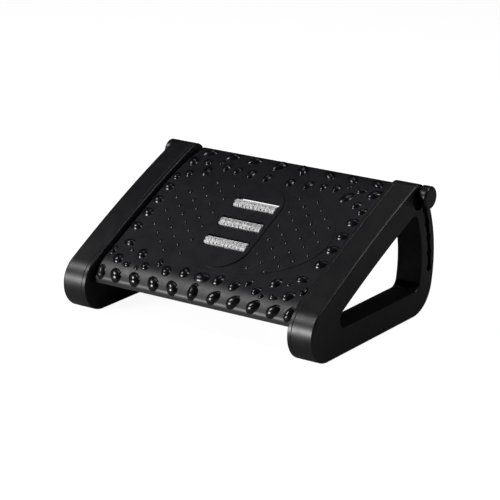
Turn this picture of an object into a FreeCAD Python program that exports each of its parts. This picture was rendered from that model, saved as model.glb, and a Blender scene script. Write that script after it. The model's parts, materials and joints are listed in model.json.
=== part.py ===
"""Tilting footrest: two hollow side frames carry a massage platform that hinges on a front rod.

The rear rod runs in a curved, notched slot in each frame and is clamped there by two knobs.
Frame: X to the right, Y to the back, Z up. The origin lies on the floor under the middle.
"""
import FreeCAD, Part
import math
import os

Vector = FreeCAD.Vector
Placement = FreeCAD.Placement
Rotation = FreeCAD.Rotation

doc = FreeCAD.newDocument("Footrest")

# Driving dimensions, in millimetres and degrees
SIZES = [
    ("overall_width", 440, "over the two side frames"),
    ("overall_depth", 328, "front round to the rearmost point of a side frame"),
    ("foot_reveal", 1.2, "side frame's underside above the floor"),
    ("frame_width", 41.7, "side frame, inner face to outer face"),
    ("front_round_radius", 41, "front end of a side frame"),
    ("band_slope", 30.2, "top band where it leaves the front round"),
    ("top_arc_radius", 2100, "gentle crown of the top band"),
    ("top_corner_radius", 21.5, "top rear corner"),
    ("rear_arc_radius", 195, "bowed rear edge"),
    ("rear_bulge_height", 84.5, "rearmost point above the frame's underside"),
    ("heel_radius", 52, "bottom rear corner"),
    ("top_band", 39.5, "top band, from its crown to the hand opening"),
    ("bottom_band", 38.5, "bottom band"),
    ("rear_column", 37, "rear column"),
    ("opening_front_radius", 14, "hand opening, front end"),
    ("opening_corner_radius", 11, "hand opening, top rear corner"),
    ("opening_heel_radius", 14, "hand opening, bottom rear corner"),
    ("shell_wall", 3, "wall of the outer shell"),
    ("cover_depth", 6.5, "inner cover, inner face to seam"),
    ("cover_wall", 2.5, "wall of the inner cover"),
    ("edge_round", 2.5, "rounded outer edges"),
    ("cover_edge_round", 1.5, "rounded edges of the inner cover"),
    ("seam_round", 0.7, "rounded edges of shell and cover where they meet"),
    ("boss_diameter", 9, "screw bosses inside the shell"),
    ("screw_diameter", 3.5, "self-tapping screws"),
    ("screw_head_diameter", 6.8, "their pan heads"),
    ("screw_head_height", 2.2, "their pan heads"),
    ("screw_grip", 12, "shank below the head"),
    ("screw_clearance", 0.15, "round each shank and head"),
    ("strip_width", 22, "rubber foot strip"),
    ("strip_length", 212, "rubber foot strip"),
    ("strip_recess", 1.3, "depth of the groove that holds it"),
    ("pivot_setback", 49, "front rod behind the frame's front end"),
    ("pivot_height", 68, "front rod above the frame's underside"),
    ("front_rod_diameter", 10, "steel rod that the platform tilts on"),
    ("rod_engagement", 32, "front rod past the inner face of each frame"),
    ("rod_boss_wall", 4, "round the front rod in the shell"),
    ("clip_thickness", 1.2, "retaining clip on the front rod"),
    ("clip_diameter", 18, "retaining clip on the front rod"),
    ("clip_offset", 2, "clip behind the seam of the frame"),
    ("groove_depth", 0.8, "groove of the clip"),
    ("bush_diameter", 14, "pivot bush in the platform"),
    ("bush_length", 18, "pivot bush in the platform"),
    ("bush_flange_diameter", 19, "flange of the pivot bush"),
    ("bush_flange", 1.4, "flange of the pivot bush"),
    ("running_clearance", 0.08, "radial, between turning pieces"),
    ("seat_clearance", 0.05, "radial, between pieces that stay together"),
    ("slot_setback", 15, "middle of the slot before the frame's rear edge, at the front rod's height"),
    ("top_tilt", 25.6, "rear rod above the front rod, in degrees at the pivot"),
    ("tilt_travel", 25.8, "whole range of the tilt"),
    ("notch_count", 6, "height positions"),
    ("notch_diameter", 13, "round notches of the slot"),
    ("slot_width", 8.5, "slot between the notches"),
    ("keyhole_diameter", 34, "round hole at the top of the slot"),
    ("keyhole_forward", 7.5, "its centre before the top position"),
    ("keyhole_drop", 2.5, "its centre below the top position"),
    ("rear_rod_diameter", 8, "steel rod with threaded ends"),
    ("rod_grip", 8.2, "rear rod inside each knob"),
    ("sleeve_diameter", 13, "spacer sleeve through the inner cover"),
    ("sleeve_gap", 0.3, "spacer sleeve to its neighbours, along the rod"),
    ("cover_slot_clearance", 0.75, "inner cover's slot beside the sleeve"),
    ("washer_diameter", 19, "nylon washer under the knob"),
    ("washer_thickness", 1.4, "nylon washer under the knob"),
    ("washer_gap", 0.2, "washer to its neighbours, along the rod"),
    ("knob_diameter", 34, "clamp knob"),
    ("knob_length", 13.8, "clamp knob"),
    ("knob_round", 3, "rounded rim of the knob"),
    ("insert_diameter", 12, "brass insert in the knob"),
    ("insert_length", 10, "brass insert in the knob"),
    ("platform_gap", 2.3, "platform to the inner cover, each side"),
    ("deck_slope", 27.4, "flat middle of the platform at its top position"),
    ("deck_over_pivot", 15.2, "platform surface above the front rod"),
    ("deck_arc_start", 96, "end of the flat stretch, along the platform before the rear rod"),
    ("deck_arc_radius", 389, "rear stretch that curves down"),
    ("deck_arc_angle", 15.2, "rear stretch that curves down"),
    ("deck_rear_round", 8, "rear edge"),
    ("deck_rear_depth", 31, "rear skirt, below the surface"),
    ("nose_radius", 60, "front stretch that curves down"),
    ("nose_start", 3, "start of the nose, along the platform from the front rod"),
    ("nose_slope", 60, "where the nose tightens"),
    ("nose_tip_radius", 12, "tight end of the nose"),
    ("nose_lip", 5, "straight lip below the nose"),
    ("deck_skin", 3, "platform's skin and skirts"),
    ("deck_edge_round", 4, "side edges of the platform"),
    ("skirt_depth", 27, "side skirts, below the flat surface"),
    ("rib_thickness", 2.4, "ribs under the platform"),
    ("rib_inner", 60, "inner lengthwise ribs, from the middle"),
    ("rib_outer", 118, "outer lengthwise ribs, from the middle"),
    ("cross_rib_front", 30, "cross rib, along the platform from the front rod"),
    ("cross_rib_middle", 69, "cross rib, along the platform before the rear rod"),
    ("cross_rib_rear", 29, "cross rib, along the platform before the rear rod"),
    ("cross_rib_depth", 16, "cross ribs, below the surface"),
    ("rod_boss_length", 22, "bosses for the rods inside the side skirts"),
    ("front_boss_diameter", 21, "boss round the pivot bush"),
    ("rear_boss_diameter", 16, "boss round the rear rod"),
    ("dot_radius", 3, "small massage dots, at the surface"),
    ("dot_height", 1.9, "small massage dots"),
    ("pebble_blunt", 0.42, "share of a bump's length before its crown"),
    ("dot_zone_share", 0.98, "how far the dots fill the oval zone"),
    ("dot_embed", 1, "how far the dots reach into the skin"),
    ("dot_first_u", 58.6, "first column of dots beside the middle"),
    ("dot_pitch_u", 15.5, "between columns"),
    ("dot_first_row", 38.2, "front row of dots, along the platform from the front rod"),
    ("dot_pitch_row", 15.3, "between rows"),
    ("zone_half_width", 154, "oval zone that holds the dots"),
    ("zone_front", 15.5, "its front end, along the platform from the front rod"),
    ("zone_rear", 52.5, "its rear end, along the platform before the rear rod"),
    ("zone_height", 0.7, "oval zone above the platform"),
    ("panel_width", 88, "roller panel"),
    ("panel_front", 23.5, "its front end, along the platform from the front rod"),
    ("panel_rear", 64.5, "its rear end, along the platform before the rear rod"),
    ("panel_height", 2.5, "roller panel above the platform"),
    ("bump_embed", 1.8, "how far the bumps reach into the skin"),
    ("roller_share", 0.236, "between rollers, over the panel's length"),
    ("roller_shift", 4.3, "middle roller behind the panel's centre"),
    ("roller_diameter", 19, "massage roller over its ribs"),
    ("roller_core_diameter", 15.6, "massage roller in its grooves"),
    ("roller_length", 72, "massage roller"),
    ("roller_depth", 4.5, "roller's axis below the platform surface"),
    ("roller_flutes", 8, "flutes round each roller"),
    ("flute_diameter", 3.4, "flutes between the rows of bumps"),
    ("dimple_diameter", 2.8, "dimples that part the bumps of a row"),
    ("segment_gap", 1.4, "grooves that part a roller's segments"),
    ("end_segment", 9, "short segment at each end of a roller"),
    ("bumps_per_segment", 4, "bumps along each long segment"),
    ("window_width", 75, "panel's windows, across"),
    ("window_length", 22, "panel's windows, along the platform"),
    ("axle_diameter", 4, "roller axle"),
    ("cheek_thickness", 3, "cheeks of the roller cradle"),
    ("cheek_gap", 1.2, "roller's end to a cheek"),
    ("cradle_wall", 2.2, "floor of the cradle"),
    ("cradle_depth", 17, "underside of the cradle below the platform surface"),
    ("cradle_margin", 15, "cradle past the first and last roller"),
    ("cradle_seat", 0.3, "cradle to the skin above it"),
    ("tab_width", 14, "screw tabs of the cradle"),
    ("tab_offset", 20.75, "screw tabs before and behind the middle roller"),
    ("tab_depth", 8, "top of the screw tabs below the platform surface"),
    ("tab_reach", 13, "screw tabs of the cradle, past a cheek"),
    ("cradle_screw_grip", 6.5, "shank of the cradle's screws"),
    ("axle_overhang", 1, "roller axle past each cheek"),
]

sheet = doc.addObject("Spreadsheet::Sheet", "Sizes")
for row, (alias, value, note) in enumerate(SIZES, start=1):
    sheet.set(f"A{row}", note)
    sheet.set(f"B{row}", str(value))
    sheet.setAlias(f"B{row}", alias)
doc.recompute()


def size(alias):
    """Value of one driving dimension."""
    return float(getattr(sheet, alias))


def rad(alias):
    """One driving angle in radians."""
    return math.radians(size(alias))


# Planes across the object, measured from its middle
outer_x = size("overall_width") / 2
inner_x = outer_x - size("frame_width")
seam_x = inner_x + size("cover_depth")
plate_x = outer_x - size("shell_wall")
deck_x = inner_x - size("platform_gap")
half_depth = size("overall_depth") / 2
floor_z = size("foot_reveal")
pivot = Vector(0, size("pivot_setback") - half_depth, floor_z + size("pivot_height"))
swing_radius = size("overall_depth") - size("pivot_setback") - size("slot_setback")
SIDES = (("right", 1), ("left", -1))


def point(y, z):
    """A point of a side profile, as a sketch on the YZ plane sees it."""
    return Vector(y, z, 0)


def swing_point(angle_deg, radius=None):
    """A point of the rear rod's path about the front rod, in the YZ plane."""
    reach = swing_radius if radius is None else radius
    angle = math.radians(angle_deg)
    return point(pivot.y + reach * math.cos(angle), pivot.z + reach * math.sin(angle))


rear_rod_centre = swing_point(size("top_tilt"))
notch_angles = [
    size("top_tilt") - step * size("tilt_travel") / (size("notch_count") - 1)
    for step in range(int(size("notch_count")))
]


# Profiles made of lines and tangent arcs
def unit(vector):
    """Unit vector along the given one."""
    return Vector(vector).normalize()


def heading(angle):
    """Outward normal of a surface that climbs at the given angle."""
    return point(-math.sin(angle), math.cos(angle))


def circle_crossing(centre_a, radius_a, centre_b, radius_b):
    """The upper crossing of two circles."""
    between = centre_b - centre_a
    span = between.Length
    along = (radius_a ** 2 - radius_b ** 2 + span ** 2) / (2 * span)
    aside = math.sqrt(radius_a ** 2 - along ** 2)
    base = centre_a + unit(between) * along
    normal = point(-between.y, between.x).normalize() * aside
    return max(base + normal, base - normal, key=lambda candidate: candidate.y)


def arc_through(centre, radius, start, end):
    """Clockwise arc from start to end."""
    first = math.atan2(end.y - centre.y, end.x - centre.x)
    last = math.atan2(start.y - centre.y, start.x - centre.x)
    circle = Part.Circle(centre, Vector(0, 0, 1), radius)
    return Part.ArcOfCircle(circle, first, last if last > first else last + 2 * math.pi)


class FrameLoop:
    """Outer outline or hand opening of a side frame: five tangent arcs and a flat bottom."""

    def __init__(self, bottom, top_radius, rear_radius, front_radius, corner_radius, heel_radius):
        round_centre = point(size("front_round_radius") - half_depth, floor_z + size("front_round_radius"))
        crown_drop = size("front_round_radius") - size("top_arc_radius")
        self.bottom = bottom
        self.top = (round_centre + heading(rad("band_slope")) * crown_drop, top_radius)
        self.rear = (
            point(half_depth - size("rear_arc_radius"), floor_z + size("rear_bulge_height")),
            rear_radius,
        )
        self.front = (self.seat_on_bottom(self.top, front_radius, -1), front_radius)
        self.heel = (self.seat_on_bottom(self.rear, heel_radius, 1), heel_radius)
        corner = circle_crossing(
            self.top[0], top_radius - corner_radius, self.rear[0], rear_radius - corner_radius
        )
        self.corner = (corner, corner_radius)

    def seat_on_bottom(self, large, radius, direction):
        """Centre of a circle that touches the flat bottom and the inside of a larger circle."""
        centre, large_radius = large
        height = self.bottom + radius
        reach = math.sqrt((large_radius - radius) ** 2 - (height - centre.y) ** 2)
        return point(centre.x + direction * reach, height)

    def edges(self, inset):
        """The loop's edges, moved inward by the inset."""
        def touch(large, small):
            return large[0] + unit(small[0] - large[0]) * (large[1] - inset)

        arcs = (self.front, self.top, self.corner, self.rear, self.heel)
        joints = [
            point(self.front[0].x, self.bottom + inset),
            touch(self.top, self.front),
            touch(self.top, self.corner),
            touch(self.rear, self.corner),
            touch(self.rear, self.heel),
            point(self.heel[0].x, self.bottom + inset),
        ]
        curves = [
            arc_through(centre, radius - inset, joints[index], joints[index + 1])
            for index, (centre, radius) in enumerate(arcs)
        ]
        return curves + [Part.LineSegment(joints[-1], joints[0])]


frame_outline = FrameLoop(
    floor_z,
    size("top_arc_radius"),
    size("rear_arc_radius"),
    size("front_round_radius"),
    size("top_corner_radius"),
    size("heel_radius"),
)
hand_opening = FrameLoop(
    floor_z + size("bottom_band"),
    size("top_arc_radius") - size("top_band"),
    size("rear_arc_radius") - size("rear_column"),
    size("opening_front_radius"),
    size("opening_corner_radius"),
    size("opening_heel_radius"),
)


# Helpers for bodies and their features
def origin_plane(body, role):
    """One of a body's own origin planes."""
    for feature in body.Origin.OriginFeatures:
        if feature.Role == role:
            return feature
    raise ValueError(role)


def side_sketch(body, name, x, curves):
    """Sketch parallel to the YZ plane at the given X."""
    sketch = body.newObject("Sketcher::SketchObject", name)
    sketch.AttachmentSupport = [(origin_plane(body, "YZ_Plane"), "")]
    sketch.MapMode = "FlatFace"
    sketch.AttachmentOffset = Placement(Vector(0, 0, x), Rotation())
    for curve in curves:
        sketch.addGeometry(curve, False)
    return sketch


def add_pad(body, name, sketch, length, direction):
    """Pad along +X for direction 1 and along -X for direction -1."""
    pad = body.newObject("PartDesign::Pad", name)
    pad.Profile = sketch
    pad.setExpression("Length", length)
    pad.Reversed = direction < 0
    doc.recompute()
    return pad


def add_pocket(body, name, sketch, length, direction):
    """Pocket towards +X for direction 1 and towards -X for direction -1."""
    before = body.Shape.Volume
    pocket = body.newObject("PartDesign::Pocket", name)
    pocket.Profile = sketch
    pocket.setExpression("Length", length)
    pocket.Reversed = direction > 0
    doc.recompute()
    if not body.Shape.Volume < before:
        raise RuntimeError(f"{name} cuts nothing")
    return pocket


def add_fillet(body, name, base, edge_names, radius):
    """Fillet on named edges of the last feature."""
    fillet = body.newObject("PartDesign::Fillet", name)
    fillet.Base = (base, edge_names)
    fillet.setExpression("Radius", radius)
    doc.recompute()
    return fillet


def edges_at_x(shape, x):
    """Names of the edges that lie in the plane of the given X."""
    names = []
    for index, edge in enumerate(shape.Edges, start=1):
        bounds = edge.BoundBox
        if abs(bounds.XMin - x) < 1e-4 and abs(bounds.XMax - x) < 1e-4:
            names.append(f"Edge{index}")
    return names


def circle(centre, diameter):
    """Full circle for a side sketch."""
    return Part.Circle(point(centre.x, centre.y), Vector(0, 0, 1), diameter / 2)


def new_body(label):
    """Empty body that names its node."""
    body = doc.addObject("PartDesign::Body", label)
    body.Label = label
    return body


def revolved_about_x(label, centre, profile, side):
    """Body turned about an X axis through the centre: profile points are (along, radius)."""
    body = new_body(label)
    sketch = body.newObject("Sketcher::SketchObject", label + "_profile")
    sketch.AttachmentSupport = [(origin_plane(body, "XZ_Plane"), "")]
    sketch.MapMode = "FlatFace"
    corners = [Vector(side * along, radius, 0) for along, radius in profile]
    for start, end in zip(corners, corners[1:] + corners[:1]):
        sketch.addGeometry(Part.LineSegment(start, end), False)
    turn = body.newObject("PartDesign::Revolution", label + "_turn")
    turn.Profile = sketch
    turn.ReferenceAxis = (sketch, ["H_Axis"])
    turn.Angle = 360
    body.Placement = Placement(Vector(0, centre.x, centre.y), Rotation())
    doc.recompute()
    return body


# Side frames
def band_middle(angle_deg):
    """Centre of a screw boss in the top band, by its direction from the crown's centre."""
    centre = frame_outline.top[0]
    radius = size("top_arc_radius") - size("top_band") / 2
    return centre + heading(math.radians(angle_deg)) * radius


boss_centres = [
    band_middle(28.7),
    band_middle(26.2),
    band_middle(23.7),
    point(frame_outline.front[0].x + 6, floor_z + 24),
    point(0, floor_z + size("bottom_band") / 2),
    point(frame_outline.heel[0].x - 10, floor_z + size("bottom_band") / 2),
]
front_boss_diameter = size("front_rod_diameter") + 2 * size("rod_boss_wall")


def slot_edges(width, first_angle, last_angle):
    """Edges of a slot that follows the rear rod's path, with round ends."""
    inner = swing_radius - width / 2
    outer = swing_radius + width / 2
    hub = point(pivot.y, pivot.z)
    axis = Vector(0, 0, 1)
    first, last = math.radians(first_angle), math.radians(last_angle)
    first_centre, last_centre = swing_point(first_angle), swing_point(last_angle)
    return [
        Part.ArcOfCircle(Part.Circle(hub, axis, inner), first, last),
        Part.ArcOfCircle(Part.Circle(last_centre, axis, width / 2), last, last + math.pi),
        Part.ArcOfCircle(Part.Circle(hub, axis, outer), first, last),
        Part.ArcOfCircle(Part.Circle(first_centre, axis, width / 2), first - math.pi, first),
    ]


def make_shell(name, side):
    """Outer shell: a hollow loop with screw bosses, the rod's socket and the notched slot."""
    body = new_body(f"{name}_frame_shell")
    outline = side_sketch(body, f"{name}_shell_outline", side * seam_x,
                          frame_outline.edges(0) + hand_opening.edges(0))
    pad = add_pad(body, f"{name}_shell_block", outline,
                  "Sizes.frame_width - Sizes.cover_depth", side)
    add_fillet(body, f"{name}_shell_round", pad, edges_at_x(pad.Shape, side * outer_x),
               "Sizes.edge_round")
    seam = body.Tip
    add_fillet(body, f"{name}_shell_seam", seam, edges_at_x(seam.Shape, side * seam_x),
               "Sizes.seam_round")
    wall = size("shell_wall")
    hollow = side_sketch(body, f"{name}_shell_inside", side * seam_x,
                         frame_outline.edges(wall) + hand_opening.edges(-wall))
    add_pocket(body, f"{name}_shell_hollow", hollow,
               "Sizes.frame_width - Sizes.cover_depth - Sizes.shell_wall", side)
    bosses = side_sketch(body, f"{name}_boss_circles", side * plate_x,
                         [circle(centre, size("boss_diameter")) for centre in boss_centres])
    add_pad(body, f"{name}_screw_bosses", bosses,
            "Sizes.frame_width - Sizes.cover_depth - Sizes.shell_wall", -side)
    holes = side_sketch(body, f"{name}_boss_bores", side * seam_x,
                        [circle(centre, size("screw_diameter") + 2 * size("screw_clearance"))
                         for centre in boss_centres])
    add_pocket(body, f"{name}_boss_holes", holes, "Sizes.screw_grip", side)
    socket = side_sketch(body, f"{name}_socket_circle", side * plate_x,
                         [circle(point(pivot.y, pivot.z), front_boss_diameter)])
    add_pad(body, f"{name}_rod_boss", socket,
            "Sizes.frame_width - Sizes.cover_depth - Sizes.shell_wall - Sizes.clip_offset"
            " - Sizes.clip_thickness - 2 * Sizes.screw_clearance", -side)
    bore = side_sketch(body, f"{name}_socket_bore", side * seam_x,
                       [circle(point(pivot.y, pivot.z),
                               size("front_rod_diameter") + 2 * size("seat_clearance"))])
    add_pocket(body, f"{name}_rod_socket", bore,
               "Sizes.rod_engagement - Sizes.cover_depth + Sizes.sleeve_gap", side)
    slot = side_sketch(body, f"{name}_slot_outline", side * plate_x,
                       slot_edges(size("slot_width"), notch_angles[-1], notch_angles[0]))
    add_pocket(body, f"{name}_slot", slot, "Sizes.shell_wall", side)
    notches = side_sketch(body, f"{name}_notch_circles", side * plate_x,
                          [circle(swing_point(angle), size("notch_diameter"))
                           for angle in notch_angles])
    add_pocket(body, f"{name}_notches", notches, "Sizes.shell_wall", side)
    keyhole_centre = rear_rod_centre - point(size("keyhole_forward"), size("keyhole_drop"))
    keyhole = side_sketch(body, f"{name}_keyhole_circle", side * plate_x,
                          [circle(keyhole_centre, size("keyhole_diameter"))])
    add_pocket(body, f"{name}_keyhole", keyhole, "Sizes.shell_wall", side)
    groove = body.newObject("Sketcher::SketchObject", f"{name}_strip_outline")
    groove.AttachmentSupport = [(origin_plane(body, "XY_Plane"), "")]
    groove.MapMode = "FlatFace"
    groove.AttachmentOffset = Placement(Vector(0, 0, floor_z), Rotation())
    for curve in strip_edges(side, size("seat_clearance")):
        groove.addGeometry(curve, False)
    before = body.Shape.Volume
    pocket = body.newObject("PartDesign::Pocket", f"{name}_strip_groove")
    pocket.Profile = groove
    pocket.setExpression("Length", "Sizes.strip_recess")
    pocket.Reversed = True
    doc.recompute()
    if not body.Shape.Volume < before:
        raise RuntimeError("the strip's groove cuts nothing")
    return body


def make_cover(name, side):
    """Inner cover: a shallow tray with posts for the screws, a bore and a curved slot."""
    body = new_body(f"{name}_inner_cover")
    outline = side_sketch(body, f"{name}_cover_outline", side * inner_x,
                          frame_outline.edges(0) + hand_opening.edges(0))
    pad = add_pad(body, f"{name}_cover_block", outline, "Sizes.cover_depth", side)
    add_fillet(body, f"{name}_cover_round", pad, edges_at_x(pad.Shape, side * inner_x),
               "Sizes.cover_edge_round")
    seam = body.Tip
    add_fillet(body, f"{name}_cover_seam", seam, edges_at_x(seam.Shape, side * seam_x),
               "Sizes.seam_round")
    wall = size("cover_wall")
    hollow = side_sketch(body, f"{name}_cover_inside", side * seam_x,
                         frame_outline.edges(wall) + hand_opening.edges(-wall))
    add_pocket(body, f"{name}_cover_hollow", hollow,
               "Sizes.cover_depth - Sizes.cover_wall", -side)
    posts = side_sketch(body, f"{name}_post_circles", side * (inner_x + wall),
                        [circle(centre, size("boss_diameter")) for centre in boss_centres])
    add_pad(body, f"{name}_screw_posts", posts, "Sizes.cover_depth - Sizes.cover_wall", side)
    bores = side_sketch(body, f"{name}_post_bores", side * inner_x,
                        [circle(centre, size("screw_diameter") + 2 * size("screw_clearance"))
                         for centre in boss_centres])
    add_pocket(body, f"{name}_post_holes", bores, "Sizes.cover_depth", side)
    heads = side_sketch(body, f"{name}_head_circles", side * inner_x,
                        [circle(centre, size("screw_head_diameter") + 2 * size("screw_clearance"))
                         for centre in boss_centres])
    add_pocket(body, f"{name}_head_recesses", heads,
               "Sizes.screw_head_height + Sizes.screw_clearance", side)
    bore = side_sketch(body, f"{name}_cover_bore_circle", side * inner_x,
                       [circle(point(pivot.y, pivot.z),
                               size("front_rod_diameter") + 2 * size("seat_clearance"))])
    add_pocket(body, f"{name}_cover_bore", bore, "Sizes.cover_wall", side)
    width = size("sleeve_diameter") + 2 * size("cover_slot_clearance")
    slot = side_sketch(body, f"{name}_cover_slot_outline", side * inner_x,
                       slot_edges(width, notch_angles[-1], notch_angles[0]))
    add_pocket(body, f"{name}_cover_slot", slot, "Sizes.cover_wall", side)
    return body


def strip_edges(side, clearance):
    """Outline of a foot strip on the floor plane, with round ends."""
    middle_x = side * (seam_x + outer_x) / 2
    half = size("strip_width") / 2 + clearance
    centre_y = (frame_outline.front[0].x + frame_outline.heel[0].x) / 2
    reach = size("strip_length") / 2 - size("strip_width") / 2
    front, back = centre_y - reach, centre_y + reach
    axis = Vector(0, 0, 1)
    return [
        Part.LineSegment(Vector(middle_x + half, front, 0), Vector(middle_x + half, back, 0)),
        Part.ArcOfCircle(Part.Circle(Vector(middle_x, back, 0), axis, half), 0, math.pi),
        Part.LineSegment(Vector(middle_x - half, back, 0), Vector(middle_x - half, front, 0)),
        Part.ArcOfCircle(Part.Circle(Vector(middle_x, front, 0), axis, half), math.pi, 2 * math.pi),
    ]


def make_foot_strip(name, side):
    """Rubber strip in the groove under a frame."""
    body = new_body(f"{name}_foot_strip")
    sketch = body.newObject("Sketcher::SketchObject", f"{name}_strip_sketch")
    sketch.AttachmentSupport = [(origin_plane(body, "XY_Plane"), "")]
    sketch.MapMode = "FlatFace"
    for curve in strip_edges(side, 0):
        sketch.addGeometry(curve, False)
    pad = body.newObject("PartDesign::Pad", f"{name}_strip_pad")
    pad.Profile = sketch
    pad.setExpression("Length", "Sizes.foot_reveal + Sizes.strip_recess")
    doc.recompute()
    return body


def make_cover_screws(name, side):
    """Self-tapping screws that hold the inner cover to the shell."""
    head_seat = inner_x + size("screw_head_height") + size("screw_clearance")
    parts = []
    for index, centre in enumerate(boss_centres):
        head = doc.addObject("Part::Cylinder", f"{name}_screw_head_{index}")
        head.setExpression("Radius", "Sizes.screw_head_diameter / 2")
        head.setExpression("Height", "Sizes.screw_head_height")
        shank = doc.addObject("Part::Cylinder", f"{name}_screw_shank_{index}")
        shank.setExpression("Radius", "Sizes.screw_diameter / 2")
        shank.setExpression("Height", "Sizes.screw_grip")
        along = Rotation(Vector(0, 1, 0), 90 * side)
        start = side * (head_seat - size("screw_head_height"))
        head.Placement = Placement(Vector(start, centre.x, centre.y), along)
        shank.Placement = Placement(Vector(side * head_seat, centre.x, centre.y), along)
        screw = doc.addObject("Part::Fuse", f"{name}_screw_{index}")
        screw.Base, screw.Tool = head, shank
        parts.append(screw)
    group = doc.addObject("Part::Compound", f"{name}_cover_screws")
    group.Links = parts
    group.Label = f"{name}_cover_screws"
    return group


# Front rod, its clips and the pivot bushes
front_rod_reach = inner_x + size("rod_engagement")
pivot_centre = point(pivot.y, pivot.z)


def make_front_rod():
    """Steel rod through the platform, with a groove near each end."""
    rod = doc.addObject("Part::Cylinder", "front_rod_bar")
    rod.setExpression("Radius", "Sizes.front_rod_diameter / 2")
    rod.Height = 2 * front_rod_reach
    rod.Placement = Placement(Vector(-front_rod_reach, pivot.y, pivot.z), Rotation(Vector(0, 1, 0), 90))
    result = rod
    for name, side in SIDES:
        ring = doc.addObject("Part::Feature", f"{name}_groove_ring")
        outer = Part.makeCylinder(size("front_rod_diameter"), size("clip_thickness"))
        inner = Part.makeCylinder(size("front_rod_diameter") / 2 - size("groove_depth"),
                                  size("clip_thickness"))
        ring.Shape = outer.cut(inner)
        start = side * (seam_x + size("clip_offset") + size("screw_clearance"))
        ring.Placement = Placement(Vector(start, pivot.y, pivot.z), Rotation(Vector(0, 1, 0), 90 * side))
        cut = doc.addObject("Part::Cut", f"front_rod_{name}_grooved")
        cut.Base, cut.Tool = result, ring
        result = cut
    result.Label = "front_rod"
    return result


def make_rod_clip(name, side):
    """Retaining ring in the rod's groove, inside the hollow frame."""
    start = seam_x + size("clip_offset") + size("screw_clearance")
    inner = size("front_rod_diameter") / 2 - size("groove_depth") + size("seat_clearance")
    near, far = start + size("seat_clearance"), start + size("clip_thickness") - size("seat_clearance")
    outer = size("clip_diameter") / 2
    return revolved_about_x(f"{name}_rod_clip", pivot_centre,
                            [(near, inner), (far, inner), (far, outer), (near, outer)], side)


def make_pivot_bush(name, side):
    """Flanged plastic bush in the platform, turning on the front rod."""
    bore = size("front_rod_diameter") / 2 + size("running_clearance")
    body_radius = size("bush_diameter") / 2
    flange_radius = size("bush_flange_diameter") / 2
    inside, face, outside = deck_x - size("bush_length"), deck_x, deck_x + size("bush_flange")
    profile = [(inside, bore), (outside, bore), (outside, flange_radius), (face, flange_radius),
               (face, body_radius), (inside, body_radius)]
    return revolved_about_x(f"{name}_pivot_bush", pivot_centre, profile, side)


# Rear rod, its sleeves, washers and knobs
def make_rear_rod():
    """Steel rod with plain ends inside the knobs."""
    rod = doc.addObject("Part::Cylinder", "rear_rod")
    rod.setExpression("Radius", "Sizes.rear_rod_diameter / 2")
    reach = knob_near + size("rod_grip")
    rod.Height = 2 * reach
    rod.Placement = Placement(Vector(-reach, rear_rod_centre.x, rear_rod_centre.y),
                              Rotation(Vector(0, 1, 0), 90))
    rod.Label = "rear_rod"
    return rod


def ring_profile(near, far, inner, outer):
    """Rectangular section of a ring: two stations along X and two radii."""
    return [(near, inner), (far, inner), (far, outer), (near, outer)]


rod_bore = size("rear_rod_diameter") / 2 + size("seat_clearance")
sleeve_ends = (deck_x + size("sleeve_gap"), plate_x - size("sleeve_gap"))
washer_near = outer_x + size("washer_gap")
washer_far = washer_near + size("washer_thickness")
knob_near = washer_far + size("washer_gap")
knob_far = knob_near + size("knob_length")


def make_spacer_sleeve(name, side):
    """Plastic sleeve between the platform and the shell's slotted wall."""
    return revolved_about_x(f"{name}_spacer_sleeve", rear_rod_centre,
                            ring_profile(*sleeve_ends, rod_bore, size("sleeve_diameter") / 2), side)


def make_clamp_washer(name, side):
    """Nylon washer between the slotted wall and the knob."""
    return revolved_about_x(f"{name}_clamp_washer", rear_rod_centre,
                            ring_profile(washer_near, washer_far, rod_bore,
                                         size("washer_diameter") / 2), side)


def make_knob_insert(name, side):
    """Threaded brass insert moulded into the knob."""
    bore = size("rear_rod_diameter") / 2 + size("running_clearance")
    return revolved_about_x(f"{name}_knob_insert", rear_rod_centre,
                            ring_profile(knob_near, knob_near + size("insert_length"), bore,
                                         size("insert_diameter") / 2), side)


def make_knob(name, side):
    """Round knob with a rounded rim and a blind bore for the insert and the rod's end."""
    body = new_body(f"{name}_knob")
    disc = side_sketch(body, f"{name}_knob_circle", 0, [circle(point(0, 0), size("knob_diameter"))])
    pad = add_pad(body, f"{name}_knob_barrel", disc, "Sizes.knob_length", side)
    add_fillet(body, f"{name}_knob_rim", pad, edges_at_x(pad.Shape, side * size("knob_length")),
               "Sizes.knob_round")
    seat = side_sketch(body, f"{name}_knob_seat", 0,
                       [circle(point(0, 0), size("insert_diameter") + 2 * size("seat_clearance"))])
    add_pocket(body, f"{name}_knob_bore", seat, "Sizes.insert_length + Sizes.seat_clearance", side)
    body.Placement = Placement(Vector(side * knob_near, rear_rod_centre.x, rear_rod_centre.y), Rotation())
    return body


# Platform: distances along its surface start at the foot of the front rod
slope = rad("deck_slope")
along_deck = point(math.cos(slope), math.sin(slope))
out_of_deck = heading(slope)


def deck_point(along, above):
    """Point of the flat stretch's own frame, in the YZ plane."""
    return pivot_centre + along_deck * along + out_of_deck * above


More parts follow.
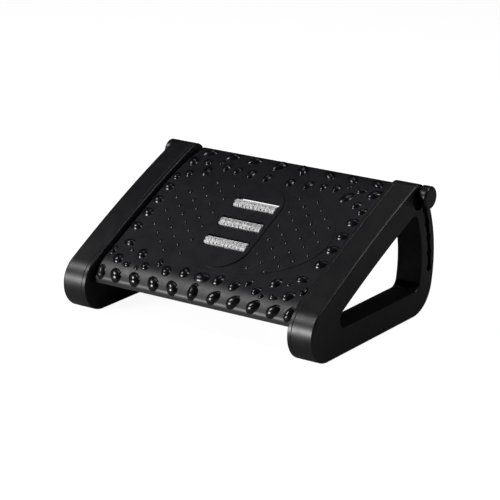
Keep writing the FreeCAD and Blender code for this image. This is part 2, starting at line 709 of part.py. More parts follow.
surface = size("deck_over_pivot")
flat_end = swing_radius - size("deck_arc_start")
zone_half_length = (swing_radius - size("zone_rear") - size("zone_front")) / 2
zone_centre = size("zone_front") + zone_half_length
panel_length = swing_radius - size("panel_rear") - size("panel_front")
panel_centre = size("panel_front") + panel_length / 2
roller_middle = panel_centre + size("roller_shift")
roller_pitch = size("roller_share") * panel_length
nose_centre = deck_point(size("nose_start"), surface - size("nose_radius"))
nose_normal = heading(rad("nose_slope"))
tip_centre = nose_centre + nose_normal * (size("nose_radius") - size("nose_tip_radius"))
arc_centre = deck_point(flat_end, surface - size("deck_arc_radius"))
rear_normal = heading(slope - rad("deck_arc_angle"))
rear_centre = arc_centre + rear_normal * (size("deck_arc_radius") - size("deck_rear_round"))
front_face_y = tip_centre.x - size("nose_tip_radius")
rear_face_y = rear_centre.x + size("deck_rear_round")
lip_z = tip_centre.y - size("nose_lip")
rear_bottom_z = rear_centre.y + size("deck_rear_round") - size("deck_rear_depth")


def surface_at(along):
    """Point, outward normal and climb of the platform's surface at a distance along it."""
    if along < size("nose_start"):
        angle = slope + (size("nose_start") - along) / size("nose_radius")
        return nose_centre + heading(angle) * size("nose_radius"), angle
    if along > flat_end:
        angle = slope - (along - flat_end) / size("deck_arc_radius")
        return arc_centre + heading(angle) * size("deck_arc_radius"), angle
    return deck_point(along, surface), slope


def top_chain(inset):
    """Edges of the platform's top from the rear face to the front face, moved inward."""
    def on(centre, radius, normal):
        return centre + normal * (radius - inset)

    rear_face = on(rear_centre, size("deck_rear_round"), point(1, 0))
    rear_joint = on(arc_centre, size("deck_arc_radius"), rear_normal)
    flat_rear = deck_point(flat_end, surface - inset)
    flat_front = deck_point(size("nose_start"), surface - inset)
    nose_joint = on(nose_centre, size("nose_radius"), nose_normal)
    front_face = on(tip_centre, size("nose_tip_radius"), point(-1, 0))
    edges = [
        arc_through(rear_centre, size("deck_rear_round") - inset, rear_joint, rear_face),
        arc_through(arc_centre, size("deck_arc_radius") - inset, flat_rear, rear_joint),
        Part.LineSegment(flat_rear, flat_front),
        arc_through(nose_centre, size("nose_radius") - inset, nose_joint, flat_front),
        arc_through(tip_centre, size("nose_tip_radius") - inset, front_face, nose_joint),
    ]
    return edges, rear_face, front_face


def closed_profile(inset, lower_corners):
    """Side profile of the platform closed below by straight runs."""
    edges, rear_face, front_face = top_chain(inset)
    corners = [front_face] + lower_corners + [rear_face]
    return edges + [Part.LineSegment(a, b) for a, b in zip(corners, corners[1:])]


skirt_floor = surface - size("skirt_depth")
outer_corners = [
    point(front_face_y, lip_z),
    deck_point(-size("front_boss_diameter") / 2, skirt_floor),
    deck_point(flat_end, skirt_floor),
    point(rear_face_y, rear_bottom_z),
]
below = lip_z - size("skirt_depth")
skin = size("deck_skin")
inner_corners = [point(front_face_y + skin, below), point(rear_face_y - skin, below)]


def prism_x(edges, start, length):
    """Solid swept along X from a closed side profile."""
    wire = Part.Wire(Part.__sortEdges__([edge.toShape() for edge in edges]))
    solid = Part.Face(wire).extrude(Vector(0, 0, length))
    solid.Placement = Placement(Vector(start, 0, 0), Rotation(Vector(1, 1, 1), 120))
    return solid


def deck_frame(along, across, above=0):
    """Placement on the platform: local X across, local Y up the slope, local Z outward."""
    centre, angle = surface_at(along)
    lifted = centre + heading(angle) * above
    return Placement(Vector(across, lifted.x, lifted.y), Rotation(Vector(1, 0, 0), math.degrees(angle)))


# Massage bumps beside the middle, each with its mirror image:
# across, along, length, width, height, turn of the slim end
PEBBLES = [
    (163.5, 163.5, 21, 16, 4.5, 15),
    (163.4, 133.5, 21, 16, 4.5, 15),
    (163, 104, 22, 16, 4.5, 25),
    (163, 72.5, 22, 16, 4.5, 25),
    (151.5, 37.5, 20, 14, 4.5, 8),
    (138.5, 24.5, 10, 8, 2.5, 0),
    (118, 20, 21, 16, 4.8, 62),
    (168, 15.5, 18, 10.5, 3.5, 85),
    (149.5, 1.5, 22, 17, 5, 48),
    (129, -5, 16, 10.5, 3.5, 8),
    (110.3, -7.5, 10.5, 8, 2.5, 60),
    (97.7, -2, 17, 13, 4.2, 55),
    (78.6, 10, 16, 9.5, 3.2, 70),
    (59.4, -2, 20.5, 15.5, 4.8, 58),
    (29.4, 2, 21, 17, 5, 75),
    (165.5, -26.5, 22, 15, 4.5, 75),
    (137.7, -26.5, 24, 18, 5.4, 42),
    (103.7, -26.5, 24, 18, 5.4, 42),
    (69.4, -26.5, 24, 18, 5.4, 42),
    (35.5, -26.5, 24, 18, 5.4, 42),
]
MIDDLE_PEBBLES = [
    (0, 2, 28, 19, 5, 0),
    (0, -25.5, 25, 18, 5.4, 90),
]
# The same for the bumps at the back, their second value measured from the rear rod
REAR_PEBBLES = [
    (20, -4, 27, 17, 6.2, -68),
    (66, -4, 25, 16, 5, -40),
    (106.5, -4, 25, 16, 5, -40),
    (149.5, -4, 25, 16, 5, -40),
    (162, -35, 25, 17, 5, 63),
    (137.6, -30.5, 17, 12, 3.8, 30),
    (115.5, -25.5, 12, 8, 2.6, 80),
    (98.8, -34, 18, 13, 4.5, -92),
    (76.9, -36.5, 18, 12, 4.2, -82),
    (51.5, -38, 23, 14, 4.6, -94),
    (21, -41, 21, 14, 4.6, -86),
    (125, -53, 26, 17, 3.4, 75),
    (149.6, -65, 17, 12, 3.6, 58),
    (165.6, -76, 16.5, 12, 3.6, 62),
]


def quarter_ellipse(reach, height):
    """Quarter of an ellipse in the XZ plane, from (reach, 0) to (0, height)."""
    side, top = Vector(reach, 0, 0), Vector(0, 0, height)
    long, short = (side, top) if abs(reach) > height else (top, side)
    ellipse = Part.Ellipse(long, short, Vector(0, 0, 0))
    first, last = sorted((ellipse.parameter(side), ellipse.parameter(top)))
    if last - first > math.pi:
        first, last = last, first + 2 * math.pi
    return Part.ArcOfEllipse(ellipse, first, last).toShape()


def pebble(length, width, height):
    """Low egg-shaped dome on the XY plane, its slim end towards +X."""
    radius = (height ** 2 + (width / 2) ** 2) / (2 * height)
    sink = radius - height
    stretch = length / math.sqrt(1 - (sink / radius) ** 2)
    blunt, slim = stretch * size("pebble_blunt"), stretch * (1 - size("pebble_blunt"))
    edges = [
        quarter_ellipse(-blunt, radius),
        quarter_ellipse(slim, radius),
        Part.LineSegment(Vector(slim, 0, 0), Vector(-blunt, 0, 0)).toShape(),
    ]
    section = Part.Face(Part.Wire(Part.__sortEdges__(edges)))
    egg = section.revolve(Vector(0, 0, 0), Vector(1, 0, 0), 360)
    egg.translate(Vector(0, 0, -sink))
    above = Part.makeBox(3 * length, 3 * length, 3 * height)
    above.translate(Vector(-1.5 * length, -1.5 * length, -size("bump_embed")))
    return egg.common(above)


def dot():
    """Small spherical cap on the XY plane."""
    radius = (size("dot_height") ** 2 + size("dot_radius") ** 2) / (2 * size("dot_height"))
    depth = radius - size("dot_height")
    base = math.degrees(math.asin((depth - size("dot_embed")) / radius))
    return Part.makeSphere(radius, Vector(0, 0, -depth), Vector(0, 0, 1), base, 90, 360)


def placed(shape, placement, turn=0):
    """Copy of a shape on the platform, turned about its own normal."""
    copy = shape.copy()
    copy.Placement = placement * Placement(Vector(0, 0, 0), Rotation(Vector(0, 0, 1), turn))
    return copy


def pebble_shapes():
    """All massage bumps, the mirrored ones on both sides."""
    at_back = [(across, swing_radius + along, *form) for across, along, *form in REAR_PEBBLES]
    shapes = []
    for across, along, length, width, height, turn in PEBBLES + at_back:
        egg = pebble(length, width, height)
        shapes.append(placed(egg, deck_frame(along, across), turn))
        shapes.append(placed(egg, deck_frame(along, -across), 180 - turn))
    for across, along, length, width, height, turn in MIDDLE_PEBBLES:
        shapes.append(placed(pebble(length, width, height), deck_frame(along, across), turn))
    return shapes


def dot_shapes():
    """Staggered dots inside the oval zone, beside the roller panel."""
    shapes = []
    rows = int(2 * zone_half_length / size("dot_pitch_row")) + 1
    columns = int(size("zone_half_width") / size("dot_pitch_u")) + 1
    for row in range(rows):
        along = size("dot_first_row") + row * size("dot_pitch_row")
        for column in range(row % 2, columns, 2):
            across = size("dot_first_u") + column * size("dot_pitch_u")
            reach = (across / size("zone_half_width")) ** 2
            reach += ((along - zone_centre) / zone_half_length) ** 2
            if reach < size("dot_zone_share"):
                for side in (1, -1):
                    place = deck_frame(along, side * across, size("zone_height"))
                    shapes.append(placed(dot(), place))
    return shapes


def stadium(width, length):
    """Face with straight sides and round ends, long along Y."""
    radius = width / 2
    straight = length / 2 - radius
    axis = Vector(0, 0, 1)
    edges = [
        Part.LineSegment(Vector(radius, -straight, 0), Vector(radius, straight, 0)),
        Part.ArcOfCircle(Part.Circle(Vector(0, straight, 0), axis, radius), 0, math.pi),
        Part.LineSegment(Vector(-radius, straight, 0), Vector(-radius, -straight, 0)),
        Part.ArcOfCircle(Part.Circle(Vector(0, -straight, 0), axis, radius), math.pi, 2 * math.pi),
    ]
    return Part.Face(Part.Wire([edge.toShape() for edge in edges]))


def layer(face, along, top, bottom):
    """Part of a layer of the platform's top that a face covers, its heights from the surface."""
    reach = 8
    column = face.extrude(Vector(0, 0, 2 * reach))
    column.translate(Vector(0, 0, -reach))
    column.Placement = deck_frame(along, 0) * column.Placement
    upper = prism_x(closed_profile(-top, outer_corners), -deck_x, 2 * deck_x)
    lower = prism_x(closed_profile(-bottom, outer_corners), -deck_x, 2 * deck_x)
    return column.common(upper.cut(lower))


def feature(name, shape):
    """Named feature that holds one shape."""
    item = doc.addObject("Part::Feature", name)
    item.Shape = shape
    return item


def fused(name, objects):
    """Union of several objects."""
    union = doc.addObject("Part::MultiFuse", name)
    union.Shapes = objects
    doc.recompute()
    return union


def cut_by(name, base, tools):
    """Difference of an object and several tools."""
    difference = doc.addObject("Part::Cut", name)
    difference.Base = base
    difference.Tool = tools[0] if len(tools) == 1 else fused(name + "_tools", tools)
    doc.recompute()
    return difference


def x_cylinder(centre, diameter, start, end):
    """Solid cylinder along X between two stations."""
    return Part.makeCylinder(diameter / 2, end - start, Vector(start, centre.x, centre.y), Vector(1, 0, 0))


def local_box(frame, x_range, y_range, z_range):
    """Box given by its ranges in a placed frame."""
    box = Part.makeBox(x_range[1] - x_range[0], y_range[1] - y_range[0], z_range[1] - z_range[0])
    box.Placement = frame * Placement(Vector(x_range[0], y_range[0], z_range[0]), Rotation())
    return box


def local_cylinder(frame, centre, diameter, bottom, top):
    """Cylinder along a placed frame's Z axis."""
    cylinder = Part.makeCylinder(diameter / 2, top - bottom)
    cylinder.Placement = frame * Placement(Vector(centre[0], centre[1], bottom), Rotation())
    return cylinder


cradle_frame = deck_frame(roller_middle, 0)
roller_places = [
    ("front", -roller_pitch),
    ("middle", 0),
    ("rear", roller_pitch),
]
cheek_inner = size("roller_length") / 2 + size("cheek_gap")
cheek_outer = cheek_inner + size("cheek_thickness")
tab_end = cheek_outer + size("tab_reach")
cradle_screw_x = tab_end - size("tab_width") / 2 + 1
cradle_screws_at = [
    (side * cradle_screw_x, place * size("tab_offset")) for side in (1, -1) for place in (1, -1)
]
pilot_diameter = size("screw_diameter") + 2 * size("screw_clearance")


def roller_centre(offset):
    """Axis of a roller in the YZ plane."""
    return deck_point(roller_middle + offset, surface - size("roller_depth"))


def make_deck_block():
    """Hollow moulding of the platform, open below."""
    body = new_body("deck_block")
    outline = side_sketch(body, "deck_outline", -deck_x, closed_profile(0, outer_corners))
    width = "Sizes.overall_width - 2 * Sizes.frame_width - 2 * Sizes.platform_gap"
    pad = add_pad(body, "deck_solid", outline, width, 1)
    chain = top_chain(0)[0]
    names = []
    for x in (-deck_x, deck_x):
        for name in edges_at_x(pad.Shape, x):
            middle = pad.Shape.getElement(name)
            middle = middle.valueAt((middle.FirstParameter + middle.LastParameter) / 2)
            spot = Part.Vertex(point(middle.y, middle.z))
            if min(spot.distToShape(edge.toShape())[0] for edge in chain) < 1e-3:
                names.append(name)
    add_fillet(body, "deck_side_rounds", pad, names, "Sizes.deck_edge_round")
    hollow = side_sketch(body, "deck_inside", deck_x - skin, closed_profile(skin, inner_corners))
    add_pocket(body, "deck_hollow", hollow, width + " - 2 * Sizes.deck_skin", -1)
    return body


def deck_structure():
    """Ribs and bosses below the skin."""
    block = prism_x(closed_profile(1, outer_corners), -deck_x + 1, 2 * deck_x - 2)
    half = size("rib_thickness") / 2
    pieces = []
    for x in (size("rib_inner"), size("rib_outer")):
        for side in (1, -1):
            pieces.append(prism_x(closed_profile(1, outer_corners), side * x - half, 2 * half))
    for along in (size("cross_rib_front"), swing_radius - size("cross_rib_middle"),
                  swing_radius - size("cross_rib_rear")):
        rib = local_box(deck_frame(along, 0), (-deck_x + 1, deck_x - 1), (-half, half),
                        (-size("cross_rib_depth"), 0))
        pieces.append(rib.common(block))
    for side in (1, -1):
        near, far = sorted((side * (deck_x - 1), side * (deck_x - size("rod_boss_length"))))
        pieces.append(x_cylinder(pivot_centre, size("front_boss_diameter"), near, far).common(block))
        pieces.append(x_cylinder(rear_rod_centre, size("rear_boss_diameter"), near, far).common(block))
    for spot in cradle_screws_at:
        pieces.append(local_cylinder(cradle_frame, spot, size("boss_diameter"),
                                     -size("tab_depth") + size("cradle_seat"), -1))
    return pieces


def deck_cutters():
    """Bores for the rods and the bushes, roller windows and pilot holes."""
    pieces = [
        x_cylinder(pivot_centre, size("front_rod_diameter") + 1, -deck_x, deck_x),
        x_cylinder(rear_rod_centre, size("rear_rod_diameter") + 2 * size("seat_clearance"),
                   -deck_x - 1, deck_x + 1),
    ]
    for side in (1, -1):
        near, far = sorted((side * (deck_x + 1), side * (deck_x - size("bush_length"))))
        pieces.append(x_cylinder(pivot_centre, size("bush_diameter") + 2 * size("seat_clearance"),
                                 near, far))
    half_width, half_length = size("window_width") / 2, size("window_length") / 2
    for _, offset in roller_places:
        pieces.append(local_box(cradle_frame, (-half_width, half_width),
                                (offset - half_length, offset + half_length), (-6, 6)))
    for spot in cradle_screws_at:
        pieces.append(local_cylinder(cradle_frame, spot, pilot_diameter, -size("tab_depth"), -skin))
    return pieces


def make_platform_deck():
    """Platform with its raised oval, roller panel, bumps and dots."""
    block = make_deck_block()
    zone_face = Part.Face(Part.Wire([
        Part.Ellipse(Vector(0, 0, 0), size("zone_half_width"), zone_half_length).toShape()
    ]))
    zone = layer(zone_face, zone_centre, size("zone_height"), -1.5)
    panel_face = stadium(size("panel_width"), panel_length)
    panel = layer(panel_face, panel_centre, size("panel_height"), -1.5)
    recess_face = stadium(size("panel_width") - skin, panel_length - skin)
    recess = layer(recess_face, panel_centre, size("panel_height") - skin, -skin - 1)
    raised = fused("deck_raised", [block, feature("deck_zone", zone), feature("deck_panel", panel)])
    recessed = cut_by("deck_recessed", raised, [feature("panel_recess", recess)])
    structure = [feature(f"deck_piece_{index}", shape)
                 for index, shape in enumerate(deck_structure())]
    cutters = [feature(f"deck_cutter_{index}", shape) for index, shape in enumerate(deck_cutters())]
    opened = cut_by("deck_opened", fused("deck_ribbed", [recessed] + structure), cutters)
    bumps = [feature(f"bump_{index}", shape)
             for index, shape in enumerate(pebble_shapes() + dot_shapes())]
    result = fused("platform_deck", [opened] + bumps)
    return result


# Rollers and the cradle that carries them
def make_cradle():
    """Tray with two cheeks for the axles and four screw tabs, under the roller panel."""
    half = roller_pitch + size("cradle_margin")
    bottom = -size("cradle_depth")
    floor = bottom + size("cradle_wall")
    top = size("panel_height") - skin - size("cradle_seat")
    shapes = [local_box(cradle_frame, (-cheek_outer, cheek_outer), (-half, half), (bottom, floor))]
    for side in (1, -1):
        near, far = sorted((side * cheek_inner, side * cheek_outer))
        shapes.append(local_box(cradle_frame, (near, far), (-half, half), (bottom, top)))
        near, far = sorted((side * (half - size("cradle_wall")), side * half))
        shapes.append(local_box(cradle_frame, (-cheek_outer, cheek_outer), (near, far),
                                (bottom, -size("tab_depth"))))
        near, far = sorted((side * cheek_inner, side * tab_end))
        for place in (1, -1):
            middle = place * size("tab_offset")
            along = (middle - size("tab_width") / 2, middle + size("tab_width") / 2)
            shapes.append(local_box(cradle_frame, (near, far), along,
                                    (-size("tab_depth") - size("cradle_wall"), -size("tab_depth"))))
    body = fused("cradle_body", [feature(f"cradle_piece_{index}", shape)
                                 for index, shape in enumerate(shapes)])
    holes = [local_cylinder(cradle_frame, spot, pilot_diameter,
                            -size("tab_depth") - size("cradle_wall") - 1, -size("tab_depth") + 1)
             for spot in cradle_screws_at]
    holes += [x_cylinder(roller_centre(offset), size("axle_diameter") + 2 * size("seat_clearance"),
                         -cheek_outer - 1, cheek_outer + 1) for _, offset in roller_places]
    return cut_by("roller_cradle", body, [feature(f"cradle_hole_{index}", shape)
                                          for index, shape in enumerate(holes)])


def make_cradle_screws():
    """Four screws that hold the cradle to the platform's bosses."""
    seat = -size("tab_depth") - size("cradle_wall") - size("seat_clearance")
    screws = []
    for spot in cradle_screws_at:
        head = local_cylinder(cradle_frame, spot, size("screw_head_diameter"),
                              seat - size("screw_head_height"), seat)
        shank = local_cylinder(cradle_frame, spot, size("screw_diameter"), seat,
                               seat + size("cradle_screw_grip"))
        screws.append(head.fuse(shank))
    return feature("cradle_screws", Part.makeCompound(screws))


def make_axle(name, offset):
    """Steel pin through the cheeks."""
    reach = cheek_outer + size("axle_overhang")
    centre = roller_centre(offset)
    axle = doc.addObject("Part::Cylinder", f"roller_axle_{name}")
    axle.setExpression("Radius", "Sizes.axle_diameter / 2")
    axle.Height = 2 * reach
    axle.Placement = Placement(Vector(-reach, centre.x, centre.y), Rotation(Vector(0, 1, 0), 90))
    return axle


def roller_cutters():
    """Grooves round the roller, flutes along it and dimples between the bumps of each row."""
    outer = size("roller_diameter") / 2
    core = size("roller_core_diameter") / 2
    length = size("roller_length")
    gap = size("segment_gap")
    segment = (length - 2 * size("end_segment") - 3 * gap) / 2
    start = -length / 2 + size("end_segment")
    tools = []
    for index in range(3):
        near = start + index * (segment + gap)
        tools.append(Part.makeCylinder(outer + 1, gap, Vector(near, 0, 0), Vector(1, 0, 0))
                     .cut(Part.makeCylinder(core, gap, Vector(near, 0, 0), Vector(1, 0, 0))))
    flutes = int(size("roller_flutes"))
    for row in range(flutes):
        turn = 360 / flutes * row
        flute = Part.makeCylinder(size("flute_diameter") / 2, length + 2,
                                  Vector(-length / 2 - 1, 0, outer), Vector(1, 0, 0))
        flute.rotate(Vector(0, 0, 0), Vector(1, 0, 0), turn)
        tools.append(flute)
        pitch = segment / size("bumps_per_segment")
        for index in range(2):
            first = start + gap + index * (segment + gap)
            for place in range(1, int(size("bumps_per_segment"))):
                dimple = Part.makeCylinder(size("dimple_diameter") / 2, 4,
                                           Vector(first + place * pitch, 0, core), Vector(0, 0, 1))
                dimple.rotate(Vector(0, 0, 0), Vector(1, 0, 0), turn + 180 / flutes)
                tools.append(dimple)
    return tools


def make_roller(name, offset):
    """Roller in segments, with rows of bumps and a bore for its axle."""
    outer = size("roller_diameter") / 2
    length = size("roller_length")
    blank = Part.makeCylinder(outer, length, Vector(-length / 2, 0, 0), Vector(1, 0, 0))
    bore = Part.makeCylinder(size("axle_diameter") / 2 + size("running_clearance"), length + 2,
                             Vector(-length / 2 - 1, 0, 0), Vector(1, 0, 0))
    centre = roller_centre(offset)
    roller = feature(f"massage_roller_{name}", blank.cut([bore] + roller_cutters()))
    roller.Placement = Placement(Vector(0, centre.x, centre.y), Rotation())
    return roller


nodes = {}


def keep(label, item):
    """Name an object as one node of the assembly."""
    item.Label = label
    nodes[label] = item


for side_name, side_sign in SIDES:
    keep(f"{side_name}_frame_shell", make_shell(side_name, side_sign))
    keep(f"{side_name}_inner_cover", make_cover(side_name, side_sign))
    keep(f"{side_name}_cover_screws", make_cover_screws(side_name, side_sign))
    keep(f"{side_name}_foot_strip", make_foot_strip(side_name, side_sign))
    keep(f"{side_name}_rod_clip", make_rod_clip(side_name, side_sign))
    keep(f"{side_name}_pivot_bush", make_pivot_bush(side_name, side_sign))
    keep(f"{side_name}_spacer_sleeve", make_spacer_sleeve(side_name, side_sign))
    keep(f"{side_name}_clamp_washer", make_clamp_washer(side_name, side_sign))
    keep(f"{side_name}_knob", make_knob(side_name, side_sign))
    keep(f"{side_name}_knob_insert", make_knob_insert(side_name, side_sign))
keep("front_rod", make_front_rod())
keep("rear_rod", make_rear_rod())
keep("platform_deck", make_platform_deck())
keep("roller_cradle", make_cradle())
keep("cradle_screws", make_cradle_screws())
for place_name, place_offset in roller_places:
    keep(f"roller_axle_{place_name}", make_axle(place_name, place_offset))
    keep(f"massage_roller_{place_name}", make_roller(place_name, place_offset))
doc.recompute()

# Every object is sound before anything is written
for item in doc.Objects:
    if "Invalid" in item.State or "Error" in item.State:
        raise RuntimeError(f"{item.Label}: {item.State}")
for label, item in nodes.items():
    if item.Shape.isNull() or not item.Shape.isValid():
        raise RuntimeError(f"{label} has no sound shape")
    if not item.Shape.Solids:
        raise RuntimeError(f"{label} has no solid")

os.makedirs("parts", exist_ok=True)
for label, item in nodes.items():
    item.Shape.exportStep(f"parts/{label}.step")
    print(label, len(item.Shape.Solids), round(item.Shape.Volume))
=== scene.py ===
"""Looks of the tilting footrest: plastics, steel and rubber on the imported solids."""

import json
import math

import bpy
from mathutils import Matrix, Vector

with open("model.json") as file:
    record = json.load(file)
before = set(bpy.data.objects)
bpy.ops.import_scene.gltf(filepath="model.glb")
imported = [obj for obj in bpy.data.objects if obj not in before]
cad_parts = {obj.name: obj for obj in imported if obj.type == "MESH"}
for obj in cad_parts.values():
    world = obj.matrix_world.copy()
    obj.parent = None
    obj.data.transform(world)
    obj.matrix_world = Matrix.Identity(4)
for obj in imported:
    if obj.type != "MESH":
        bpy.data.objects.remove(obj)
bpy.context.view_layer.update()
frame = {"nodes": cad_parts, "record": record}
NODES = frame["nodes"]

# Camera, in metres and degrees
TARGET = Vector((0.0065, -0.0064, 0.0959))
AZIMUTH, ELEVATION, ROLL = 34.93, 17.65, 0.11
DISTANCE = 3.232
LENS, SENSOR = 158.5, 36
FAR_CLIP = 100

# Platform, as the solids have it, in metres
PIVOT_Y, PIVOT_Z = -0.115, 0.0692
DECK_SLOPE = math.radians(27.4)
DECK_OVER_PIVOT = 0.0152
NOSE_START, NOSE_RADIUS = 0.003, 0.060
FLAT_END, ARC_RADIUS = 0.168, 0.389
ZONE_CENTRE, ZONE_HALF_WIDTH, ZONE_HALF_LENGTH = 0.1135, 0.154, 0.098
ZONE_HEIGHT = 0.0007
PANEL_CENTRE, PANEL_HALF_WIDTH, PANEL_HALF_LENGTH = 0.1115, 0.0455, 0.0895
BUMP_MARGIN = 0.0002
ZONE_MARGIN = 1.05
ABOVE_ANY_BUMP = 1

# Base colours
FRAME_BLACK = (0.0080, 0.0078, 0.0092)
DECK_GREY = (0.0085, 0.0082, 0.0105)
BUMP_GREY = (0.0050, 0.0048, 0.0060)
KNOB_BLACK = (0.0080, 0.0078, 0.0090)
HIDDEN_GREY = (0.0080, 0.0078, 0.0088)
ROLLER_WHITE = (0.80, 0.79, 0.80)
NYLON = (0.62, 0.60, 0.55)
ZINC = (0.60, 0.61, 0.63)
BRASS = (0.72, 0.52, 0.22)
STRIP_BLACK = (0.015, 0.015, 0.015)

# Noise scales, in features per metre
PLASTIC_CLOUDS, PLASTIC_GLOSS, PLASTIC_GRAIN = 28, 45, 1900
METAL_CLOUDS, METAL_GLOSS, METAL_SCRATCHES = 40, 300, 900
RUBBER_CLOUDS, RUBBER_GLOSS, RUBBER_GRAIN = 90, 500, 700
BEADS_PER_METRE = 240

# Depths of the fine relief, in metres
GRAIN_DEPTH, RUBBER_DEPTH, BEAD_DEPTH = 0.0001, 0.0003, 0.0007

# Colour sockets of the mix node
MIX_LOW, MIX_HIGH, MIX_RESULT = 6, 7, 2

# Stage, in metres and watts
FLOOR_REACH = 30
FLOOR_GREY = (0.35, 0.35, 0.35, 1)
FLOOR_LIFT = 0.93
WORLD_LEVEL = 0.10
MIDDLE = (0, 0, 0.1)
RIGHT_EDGE = (0.15, 0, 0.15)
# Name, place, aim, width, height, power
LAMPS = (
    ("key", (-1.5, -1.1, 2.0), MIDDLE, 0.6, 0.6, 22),
    ("front", (-1.2, -2.3, 0.5), MIDDLE, 0.9, 0.5, 52),
    ("top", (-0.2, 0.8, 2.2), MIDDLE, 1.0, 0.8, 3),
    ("rim", (1.3, 0.7, 1.5), RIGHT_EDGE, 0.25, 1.0, 9),
)


def camera_axes():
    """Unit vectors from the target to the camera, to its right and up."""
    azimuth, elevation, roll = math.radians(AZIMUTH), math.radians(ELEVATION), math.radians(ROLL)
    back = Vector((
        math.sin(azimuth) * math.cos(elevation),
        -math.cos(azimuth) * math.cos(elevation),
        math.sin(elevation),
    ))
    level = Vector((math.cos(azimuth), math.sin(azimuth), 0))
    upright = back.cross(level)
    right = level * math.cos(roll) + upright * math.sin(roll)
    up = upright * math.cos(roll) - level * math.sin(roll)
    return back, right, up


def make_camera():
    """Camera at the photograph's view."""
    back, right, up = camera_axes()
    data = bpy.data.cameras.new("camera")
    data.lens, data.sensor_width = LENS, SENSOR
    data.clip_end = FAR_CLIP
    camera = bpy.data.objects.new("camera", data)
    bpy.context.scene.collection.objects.link(camera)
    camera.matrix_world = Matrix((
        (right.x, up.x, back.x, TARGET.x + back.x * DISTANCE),
        (right.y, up.y, back.y, TARGET.y + back.y * DISTANCE),
        (right.z, up.z, back.z, TARGET.z + back.z * DISTANCE),
        (0, 0, 0, 1),
    ))
    bpy.context.scene.camera = camera


# Materials
class Nodes:
    """Short way to build one material's node tree."""

    def __init__(self, name):
        self.material = bpy.data.materials.new(name)
        self.material.use_nodes = True
        self.tree = self.material.node_tree
        self.shader = self.tree.nodes["Principled BSDF"]
        self.output = self.tree.nodes["Material Output"]

    def add(self, kind, inputs=None, **settings):
        """New node; inputs are values or the sockets that feed them."""
        node = self.tree.nodes.new(kind)
        for key, value in settings.items():
            setattr(node, key, value)
        for key, value in (inputs or {}).items():
            if isinstance(value, bpy.types.NodeSocket):
                self.tree.links.new(value, node.inputs[key])
            else:
                node.inputs[key].default_value = value
        return node

    def feed(self, name, socket):
        """Links a socket to the shader."""
        self.tree.links.new(socket, self.shader.inputs[name])

    def noise(self, scale, detail=2, roughness=0.5):
        """Noise over the object's own coordinates."""
        place = self.add("ShaderNodeTexCoord").outputs["Object"]
        return self.add("ShaderNodeTexNoise", {
            "Vector": place, "Scale": scale, "Detail": detail, "Roughness": roughness,
        }).outputs["Fac"]

    def ramp(self, factor, low, high):
        """Linear map of a 0 to 1 factor."""
        return self.add("ShaderNodeMapRange", {
            "Value": factor, "To Min": low, "To Max": high,
        }).outputs[0]

    def tint(self, colour, factor, low, high):
        """Base colour between a darker and a lighter share of one colour."""
        mix = self.add("ShaderNodeMix", {
            "Factor": factor, MIX_LOW: shade(colour, low), MIX_HIGH: shade(colour, high),
        }, data_type="RGBA")
        self.feed("Base Color", mix.outputs[MIX_RESULT])

    def bump(self, height, distance, strength):
        """Bump into the shader's normal."""
        node = self.add("ShaderNodeBump", {
            "Height": height, "Distance": distance, "Strength": strength,
        })
        self.feed("Normal", node.outputs["Normal"])


def shade(colour, factor):
    """Colour scaled by a factor, with alpha."""
    return tuple(min(1, channel * factor) for channel in colour) + (1,)


def plastic(name, colour, roughness, grain):
    """Moulded plastic: a fine grain, faint cloudiness in colour and slightly uneven gloss."""
    made = Nodes(name)
    made.tint(colour, made.noise(PLASTIC_CLOUDS, 3), 0.86, 1.14)
    made.feed("Roughness", made.ramp(made.noise(PLASTIC_GLOSS, 4), roughness - 0.1, roughness + 0.1))
    made.bump(made.noise(PLASTIC_GRAIN, 2, 0.6), GRAIN_DEPTH, grain)
    return made.material


def metal(name, colour, roughness, scratch):
    """Plated or drawn metal with fine marks."""
    made = Nodes(name)
    made.shader.inputs["Metallic"].default_value = 1
    made.tint(colour, made.noise(METAL_CLOUDS, 3), 0.9, 1.05)
    made.feed("Roughness", made.ramp(made.noise(METAL_GLOSS, 4), roughness - 0.06, roughness + 0.08))
    made.bump(made.noise(METAL_SCRATCHES, 3), GRAIN_DEPTH, scratch)
    return made.material


def rubber(name, colour):
    """Matt rubber with a coarse grain."""
    made = Nodes(name)
    made.tint(colour, made.noise(RUBBER_CLOUDS, 3), 0.8, 1.2)
    made.feed("Roughness", made.ramp(made.noise(RUBBER_GLOSS, 2), 0.8, 0.95))
    made.bump(made.noise(RUBBER_GRAIN, 2), RUBBER_DEPTH, 0.4)
    return made.material


def beaded(name, colour, roughness):
    """White plastic with massage nubs: light beads with painted shade between them, where the white is
    darkened, and the same mask raises the beads as bump relief.
    """
    made = Nodes(name)
    place = made.add("ShaderNodeTexCoord").outputs["Object"]
    cells = made.add("ShaderNodeTexVoronoi", {
        "Vector": place, "Scale": BEADS_PER_METRE, "Randomness": 0.45,
    })
    bead_relief_and_shade = made.add("ShaderNodeMapRange", {
        "Value": cells.outputs["Distance"], "From Min": 0.3, "From Max": 0.75, "To Min": 1, "To Max": 0,
    }).outputs[0]
    # Painted shade: between the beads the base colour falls to 0.38 of the white, standing in for the
    # shade between the nubs.
    made.tint(colour, bead_relief_and_shade, 0.38, 1)
    made.shader.inputs["Roughness"].default_value = roughness
    made.bump(bead_relief_and_shade, BEAD_DEPTH, 0.7)
    return made.material


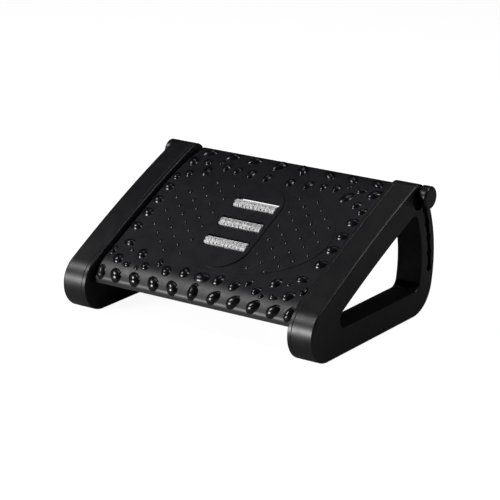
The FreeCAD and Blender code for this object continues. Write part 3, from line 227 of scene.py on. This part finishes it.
LOOKS = {
    "frame_plastic": plastic("frame_plastic", FRAME_BLACK, 0.38, 0.35),
    "platform_plastic": plastic("platform_plastic", DECK_GREY, 0.42, 0.45),
    "knob_plastic": plastic("knob_plastic", KNOB_BLACK, 0.30, 0.2),
    "hidden_plastic": plastic("hidden_plastic", HIDDEN_GREY, 0.5, 0.3),
    "roller_plastic": beaded("roller_plastic", ROLLER_WHITE, 0.4),
    "bearing_plastic": plastic("bearing_plastic", NYLON, 0.45, 0.1),
    "rod_steel": metal("rod_steel", ZINC, 0.3, 0.08),
    "insert_brass": metal("insert_brass", BRASS, 0.35, 0.1),
    "strip_rubber": rubber("strip_rubber", STRIP_BLACK),
}
BUMP_LOOK = plastic("bump_plastic", BUMP_GREY, 0.24, 0.1)
SCREW_LOOK = plastic("screw_black", HIDDEN_GREY, 0.4, 0.1)


def dress(entry):
    """Gives one solid the look of its material slot; the cover screws are black."""
    mesh = NODES[entry["node"]].data
    mesh.materials.clear()
    if "cover_screws" in entry["node"]:
        mesh.materials.append(SCREW_LOOK)
    else:
        mesh.materials.append(LOOKS[entry["material_slot"]])


def deck_place(y, z):
    """Distance along the platform's surface and height above it, for a point of a side section."""
    across, up = y - PIVOT_Y, z - PIVOT_Z
    along = across * math.cos(DECK_SLOPE) + up * math.sin(DECK_SLOPE)
    above = up * math.cos(DECK_SLOPE) - across * math.sin(DECK_SLOPE) - DECK_OVER_PIVOT
    if along < NOSE_START:
        dx, dz = along - NOSE_START, above + NOSE_RADIUS
        return NOSE_START + NOSE_RADIUS * math.atan2(dx, dz), math.hypot(dx, dz) - NOSE_RADIUS
    if along > FLAT_END:
        dx, dz = along - FLAT_END, above + ARC_RADIUS
        return FLAT_END + ARC_RADIUS * math.atan2(dx, dz), math.hypot(dx, dz) - ARC_RADIUS
    return along, above


def base_height(x, along):
    """Height of the plain surface under a point: the bare deck, the oval or the roller panel."""
    if abs(x) < PANEL_HALF_WIDTH and abs(along - PANEL_CENTRE) < PANEL_HALF_LENGTH:
        return ABOVE_ANY_BUMP
    oval = (x / ZONE_HALF_WIDTH) ** 2 + ((along - ZONE_CENTRE) / ZONE_HALF_LENGTH) ** 2
    return ZONE_HEIGHT if oval < ZONE_MARGIN else 0


def gloss_the_bumps():
    """Gives the faces of the massage bumps their glossier look."""
    mesh = NODES["platform_deck"].data
    mesh.materials.append(BUMP_LOOK)
    for face in mesh.polygons:
        centre = face.center
        along, above = deck_place(centre.y, centre.z)
        if above > base_height(centre.x, along) + BUMP_MARGIN:
            face.material_index = 1


# Stage
def area_light(name, place, aim, width, height, power):
    """Soft rectangular lamp that faces a point."""
    data = bpy.data.lights.new(name, "AREA")
    data.shape = "RECTANGLE"
    data.size, data.size_y = width, height
    data.energy = power
    lamp = bpy.data.objects.new(name, data)
    bpy.context.scene.collection.objects.link(lamp)
    lamp.location = place
    lamp.rotation_euler = (Vector(aim) - Vector(place)).to_track_quat("-Z", "Y").to_euler()


def make_floor():
    """White floor that shows as the background and keeps the soft shadow."""
    corners = [(x, y, 0) for x, y in (
        (-FLOOR_REACH, -FLOOR_REACH),
        (FLOOR_REACH, -FLOOR_REACH),
        (FLOOR_REACH, FLOOR_REACH),
        (-FLOOR_REACH, FLOOR_REACH),
    )]
    data = bpy.data.meshes.new("floor")
    data.from_pydata(corners, [], [(0, 1, 2, 3)])
    floor = bpy.data.objects.new("floor", data)
    bpy.context.scene.collection.objects.link(floor)
    made = Nodes("floor_white")
    made.shader.inputs["Base Color"].default_value = FLOOR_GREY
    made.shader.inputs["Roughness"].default_value = 1
    made.shader.inputs["Specular IOR Level"].default_value = 0
    seen = made.add("ShaderNodeLightPath").outputs["Is Camera Ray"]
    level = made.add("ShaderNodeMath", {0: seen, 1: FLOOR_LIFT}, operation="MULTIPLY")
    glow = made.add("ShaderNodeEmission", {"Strength": level.outputs[0]})
    both = made.add("ShaderNodeAddShader", {0: made.shader.outputs[0], 1: glow.outputs[0]})
    made.tree.links.new(both.outputs[0], made.output.inputs["Surface"])
    data.materials.append(made.material)


def make_world():
    """Even surroundings: white to the camera and dim to the part."""
    world = bpy.data.worlds.new("world")
    bpy.context.scene.world = world
    world.use_nodes = True
    tree = world.node_tree
    path = tree.nodes.new("ShaderNodeLightPath")
    level = tree.nodes.new("ShaderNodeMapRange")
    level.inputs["To Min"].default_value = WORLD_LEVEL
    level.inputs["To Max"].default_value = 1
    tree.links.new(path.outputs["Is Camera Ray"], level.inputs["Value"])
    tree.links.new(level.outputs[0], tree.nodes["Background"].inputs["Strength"])


for subpart in frame["record"]["subparts"]:
    dress(subpart)
gloss_the_bumps()
make_camera()
make_floor()
make_world()
for lamp_values in LAMPS:
    area_light(*lamp_values)
bpy.context.scene.view_settings.view_transform = "Standard"
